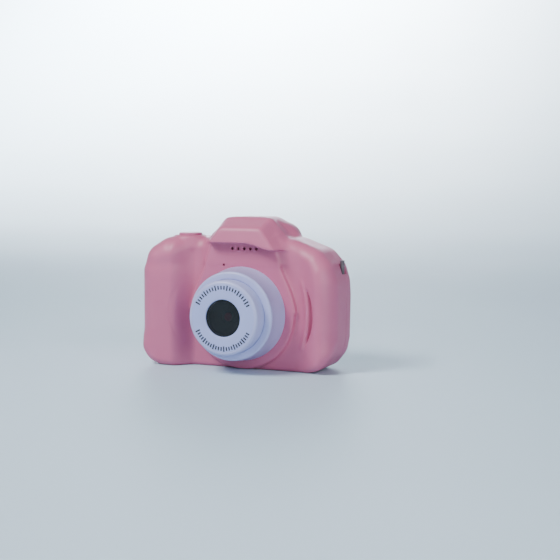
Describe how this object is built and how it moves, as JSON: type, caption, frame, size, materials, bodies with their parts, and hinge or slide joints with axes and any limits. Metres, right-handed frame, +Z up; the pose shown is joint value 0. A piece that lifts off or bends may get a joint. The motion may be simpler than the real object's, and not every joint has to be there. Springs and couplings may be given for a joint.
{
  "type": "kids digital camera",
  "caption": "Small moulded toy camera with chunky hand grips, a stepped lens tube, a viewfinder hump, a rear screen and sprung buttons.",
  "frame": {"origin": "on the flat base, halfway between the two side walls, 4 mm in front of the seam between the shells", "axes": "+X along the width, to the right seen from the front; -Y out of the lens; +Z up"},
  "size_m": [0.084, 0.0422, 0.061],
  "materials": {
    "pink_shell": "satin",
    "pink_button": "satin",
    "white_plastic": "satin",
    "smoked_acrylic": "gloss",
    "black_plastic": "matt",
    "glass": "gloss",
    "board_green": "satin",
    "flex_amber": "satin",
    "steel": "satin",
    "display_dark": "gloss",
    "cell_foil": "satin",
    "wire_red": "satin",
    "wire_black": "satin"
  },
  "bodies": {
    "body": {"front_housing": "pink_shell", "rear_housing": "pink_shell", "lens_base_ring": "white_plastic", "lens_barrel": "white_plastic", "lens_face_plate": "white_plastic", "lens_window": "smoked_acrylic", "lens_baffle": "black_plastic", "glass_lens": "glass", "lens_holder": "black_plastic", "module_bracket": "black_plastic", "sensor_board": "board_green", "sensor_ribbon": "flex_amber", "shutter_switch": "steel", "up_switch": "steel", "down_switch": "steel", "left_switch": "steel", "right_switch": "steel", "ok_switch": "steel", "mode_switch": "steel", "power_switch": "steel", "screen_cover": "smoked_acrylic", "lcd_panel": "display_dark", "lcd_frame": "black_plastic", "main_board": "board_green", "processor_chip": "black_plastic", "memory_chip": "black_plastic", "usb_socket": "steel", "card_slot": "steel", "battery": "cell_foil", "battery_wire_red": "wire_red", "battery_wire_black": "wire_black", "speaker": "black_plastic", "microphone": "steel", "case_screw_1": "steel", "case_screw_2": "steel", "case_screw_3": "steel", "case_screw_4": "steel", "board_screw_1": "steel", "board_screw_2": "steel", "strap_pin_right_hand": "steel", "strap_pin_left_hand": "steel"},
    "shutter": {"shutter_button": "pink_button"},
    "up_key": {"up_key": "pink_button"},
    "down_key": {"down_key": "pink_button"},
    "left_key": {"left_key": "pink_button"},
    "right_key": {"right_key": "pink_button"},
    "ok_key": {"ok_key": "pink_button"},
    "mode_key": {"mode_button": "pink_button"},
    "power_key": {"power_button": "pink_button"}
  },
  "joints": [
    {"name": "shutter_press", "type": "slide", "parent": "body", "child": "shutter", "axis": [0, 0, -1], "range_m": [0, 0.0007], "stiffness_N_per_m": 1500},
    {"name": "up_press", "type": "slide", "parent": "body", "child": "up_key", "axis": [0, -1, 0], "range_m": [0, 0.0005], "stiffness_N_per_m": 2000},
    {"name": "down_press", "type": "slide", "parent": "body", "child": "down_key", "axis": [0, -1, 0], "range_m": [0, 0.0005], "stiffness_N_per_m": 2000},
    {"name": "left_press", "type": "slide", "parent": "body", "child": "left_key", "axis": [0, -1, 0], "range_m": [0, 0.0005], "stiffness_N_per_m": 2000},
    {"name": "right_press", "type": "slide", "parent": "body", "child": "right_key", "axis": [0, -1, 0], "range_m": [0, 0.0005], "stiffness_N_per_m": 2000},
    {"name": "ok_press", "type": "slide", "parent": "body", "child": "ok_key", "axis": [0, -1, 0], "range_m": [0, 0.0005], "stiffness_N_per_m": 2000},
    {"name": "mode_press", "type": "slide", "parent": "body", "child": "mode_key", "axis": [0, -1, 0], "range_m": [0, 0.0005], "stiffness_N_per_m": 2000},
    {"name": "power_press", "type": "slide", "parent": "body", "child": "power_key", "axis": [0, -1, 0], "range_m": [0, 0.0005], "stiffness_N_per_m": 2000}
  ]
}
